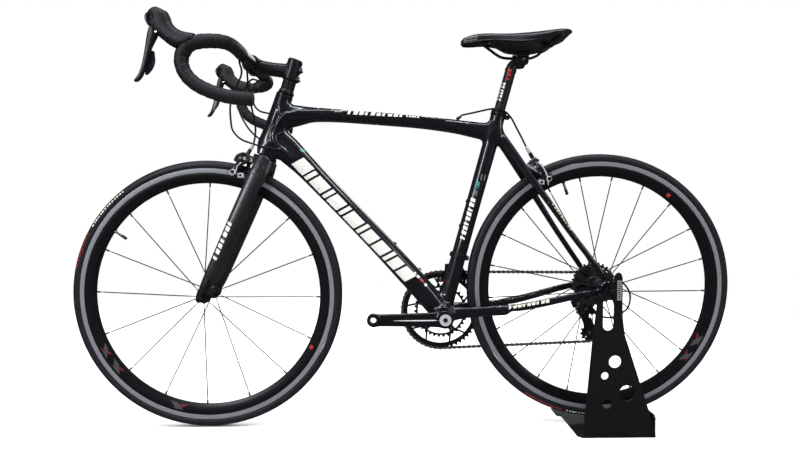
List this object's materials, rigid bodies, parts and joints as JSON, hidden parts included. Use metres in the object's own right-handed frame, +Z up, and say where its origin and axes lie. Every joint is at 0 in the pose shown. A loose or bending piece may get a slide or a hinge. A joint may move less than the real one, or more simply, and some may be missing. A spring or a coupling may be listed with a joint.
{
  "type": "bicycle on stand",
  "caption": "Road bicycle with drop bars and rim brakes, held upright by a bent steel plate stand that hooks under the left end of its rear axle.",
  "frame": {"origin": "on the ground, half way between the two axles, in the middle plane of the wheels", "axes": "-X towards the front wheel, -Y towards the left (non-drive) side where the stand is, +Z up"},
  "size_m": [1.649, 0.4408, 0.9845],
  "materials": {
    "stand_coat": "matt black powder coat on bent steel plate",
    "frame_paint": "gloss black lacquer with a faint navy tint",
    "fork_satin": "satin graphite lacquer",
    "post_black": "matt black seatpost",
    "black_alloy": "black anodised",
    "dark_alloy": "dark anodised and part polished",
    "crank_gloss": "gloss black",
    "lever_grey": "dark grey satin",
    "lever_black": "black satin",
    "chain_steel": "oiled steel",
    "rail_steel": "dark steel wire",
    "rim_black": "matt black with machined brake track",
    "hub_black": "black hub and bladed spokes",
    "tyre_rubber": "black road tyre",
    "hood_rubber": "soft ribbed rubber",
    "bar_tape": "wound cork-blend tape",
    "cable_jacket": "black cable housing",
    "saddle_cover": "smooth black cover",
    "jockey_plastic": "black moulded"
  },
  "bodies": {
    "stand": {"stand_base": "stand_coat", "stand_upright": "stand_coat", "axle_hook": "stand_coat"},
    "rear_skewer": {"rear_skewer": "dark_alloy"},
    "rear_quick_release_lever": {"rear_quick_release_lever": "lever_black"},
    "frame": {"head_tube": "frame_paint", "top_tube": "frame_paint", "down_tube": "frame_paint", "seat_tube": "frame_paint", "bottom_bracket_shell": "frame_paint", "left_chainstay": "frame_paint", "right_chainstay": "frame_paint", "left_seatstay": "frame_paint", "right_seatstay": "frame_paint", "seat_collar": "black_alloy", "front_derailleur": "dark_alloy", "rear_derailleur": "dark_alloy", "chain": "chain_steel", "rear_brake_cable_rear": "cable_jacket", "rear_derailleur_cable": "cable_jacket", "left_shift_cable": "cable_jacket", "right_shift_cable": "cable_jacket", "rear_brake_cable_front": "cable_jacket"},
    "seatpost": {"seatpost": "post_black"},
    "saddle": {"saddle": "saddle_cover", "saddle_rails": "rail_steel", "saddle_clamp": "black_alloy"},
    "steering": {"fork": "fork_satin", "headset_spacers": "black_alloy", "stem": "black_alloy", "stem_faceplate": "black_alloy", "handlebar": "black_alloy", "bar_tape_left": "bar_tape", "bar_tape_right": "bar_tape", "hood_left": "hood_rubber", "hood_right": "hood_rubber", "front_skewer": "dark_alloy", "front_brake_cable": "cable_jacket"},
    "front_quick_release_lever": {"front_quick_release_lever": "lever_black"},
    "front_wheel": {"front_tyre": "tyre_rubber", "front_rim": "rim_black", "front_hub": "hub_black"},
    "rear_wheel": {"rear_tyre": "tyre_rubber", "rear_rim": "rim_black", "rear_hub": "hub_black"},
    "crankset": {"left_crank_arm": "crank_gloss", "right_crank_arm": "crank_gloss", "outer_chainring": "dark_alloy", "inner_chainring": "dark_alloy"},
    "cassette": {"cassette": "chain_steel"},
    "upper_jockey_wheel": {"upper_jockey_wheel": "jockey_plastic"},
    "lower_jockey_wheel": {"lower_jockey_wheel": "jockey_plastic"},
    "brake_lever_left": {"brake_lever_left": "lever_grey"},
    "brake_lever_right": {"brake_lever_right": "lever_grey"},
    "shift_paddle_left": {"shift_paddle_left": "lever_grey"},
    "shift_paddle_right": {"shift_paddle_right": "lever_grey"},
    "front_brake_arm_left": {"front_brake_arm_left": "dark_alloy"},
    "front_brake_arm_right": {"front_brake_arm_right": "dark_alloy"},
    "rear_brake_arm_left": {"rear_brake_arm_left": "dark_alloy"},
    "rear_brake_arm_right": {"rear_brake_arm_right": "dark_alloy"}
  },
  "joints": [
    {"name": "lift_off", "type": "slide", "parent": "stand", "child": "rear_skewer", "axis": [0, 0, 1], "range_m": [0, 0.12]},
    {"name": "bike_pitch", "type": "hinge", "parent": "rear_skewer", "child": "frame", "pos_m": [0.4905, 0, 0.352], "axis": [0, 1, 0], "range_deg": [0, 15]},
    {"name": "rear_quick_release", "type": "hinge", "parent": "rear_skewer", "child": "rear_quick_release_lever", "pos_m": [0.4905, -0.091, 0.352], "axis": [1, 0, 0], "range_deg": [0, 180]},
    {"name": "steering", "type": "hinge", "parent": "frame", "child": "steering", "pos_m": [-0.294, 0, 0.8315], "axis": [0.289, 0, 0.9573], "range_deg": [-45, 45], "deforming": ["left_shift_cable", "right_shift_cable", "rear_brake_cable_front"]},
    {"name": "front_wheel_spin", "type": "hinge", "parent": "steering", "child": "front_wheel", "pos_m": [-0.4905, 0, 0.334], "axis": [0, 1, 0], "continuous": true},
    {"name": "front_quick_release", "type": "hinge", "parent": "steering", "child": "front_quick_release_lever", "pos_m": [-0.4905, -0.064, 0.334], "axis": [1, 0, 0], "range_deg": [0, 180]},
    {"name": "rear_wheel_spin", "type": "hinge", "parent": "frame", "child": "rear_wheel", "pos_m": [0.4905, 0, 0.352], "axis": [0, 1, 0], "continuous": true},
    {"name": "crank_spin", "type": "hinge", "parent": "frame", "child": "crankset", "pos_m": [0.096, 0, 0.282], "axis": [0, 1, 0], "continuous": true},
    {"name": "cassette_spin", "type": "hinge", "parent": "frame", "child": "cassette", "pos_m": [0.4905, 0, 0.352], "axis": [0, 1, 0], "continuous": true},
    {"name": "upper_jockey_spin", "type": "hinge", "parent": "frame", "child": "upper_jockey_wheel", "pos_m": [0.48, 0, 0.284], "axis": [0, 1, 0], "continuous": true},
    {"name": "lower_jockey_spin", "type": "hinge", "parent": "frame", "child": "lower_jockey_wheel", "pos_m": [0.49, 0, 0.219], "axis": [0, 1, 0], "continuous": true},
    {"name": "seatpost_height", "type": "slide", "parent": "frame", "child": "seatpost", "axis": [0.2656, 0, 0.9641], "range_m": [-0.04, 0.04]},
    {"name": "saddle_tilt", "type": "hinge", "parent": "seatpost", "child": "saddle", "pos_m": [0.289, 0, 0.913], "axis": [0, 1, 0], "range_deg": [-8, 8]},
    {"name": "brake_lever_left_pull", "type": "hinge", "parent": "steering", "child": "brake_lever_left", "pos_m": [-0.519, -0.205, 0.917], "axis": [0, -1, 0], "range_deg": [0, 18], "stiffness_Nm_per_rad": 1},
    {"name": "shift_paddle_left_push", "type": "hinge", "parent": "brake_lever_left", "child": "shift_paddle_left", "pos_m": [-0.5175, -0.2, 0.887], "axis": [1, 0, 0], "range_deg": [0, 12], "stiffness_Nm_per_rad": 0.3},
    {"name": "brake_lever_right_pull", "type": "hinge", "parent": "steering", "child": "brake_lever_right", "pos_m": [-0.519, 0.205, 0.917], "axis": [0, -1, 0], "range_deg": [0, 18], "stiffness_Nm_per_rad": 1},
    {"name": "shift_paddle_right_push", "type": "hinge", "parent": "brake_lever_right", "child": "shift_paddle_right", "pos_m": [-0.5175, 0.2, 0.887], "axis": [-1, 0, 0], "range_deg": [0, 12], "stiffness_Nm_per_rad": 0.3},
    {"name": "front_brake_arm_left_close", "type": "hinge", "parent": "steering", "child": "front_brake_arm_left", "pos_m": [-0.3959, 0, 0.67512], "axis": [0.9636, 0, -0.2672], "range_deg": [0, 2.3]},
    {"name": "front_brake_arm_right_close", "type": "hinge", "parent": "steering", "child": "front_brake_arm_right", "pos_m": [-0.3959, 0, 0.67512], "axis": [-0.9636, 0, 0.2672], "range_deg": [0, 2.3]},
    {"name": "rear_brake_arm_left_close", "type": "hinge", "parent": "frame", "child": "rear_brake_arm_left", "pos_m": [0.32704, 0, 0.666], "axis": [0.887, 0, 0.4617], "range_deg": [0, 2.3]},
    {"name": "rear_brake_arm_right_close", "type": "hinge", "parent": "frame", "child": "rear_brake_arm_right", "pos_m": [0.32704, 0, 0.666], "axis": [-0.887, 0, -0.4617], "range_deg": [0, 2.3]}
  ],
  "couplings": [
    {"joint": "cassette_spin", "follows": "crank_spin", "ratio": 3.5714},
    {"joint": "upper_jockey_spin", "follows": "crank_spin", "ratio": -4.5455},
    {"joint": "lower_jockey_spin", "follows": "crank_spin", "ratio": 4.5455},
    {"joint": "front_brake_arm_left_close", "follows": "brake_lever_left_pull", "ratio": 0.12},
    {"joint": "front_brake_arm_right_close", "follows": "brake_lever_left_pull", "ratio": 0.12},
    {"joint": "rear_brake_arm_left_close", "follows": "brake_lever_right_pull", "ratio": 0.12},
    {"joint": "rear_brake_arm_right_close", "follows": "brake_lever_right_pull", "ratio": 0.12}
  ]
}
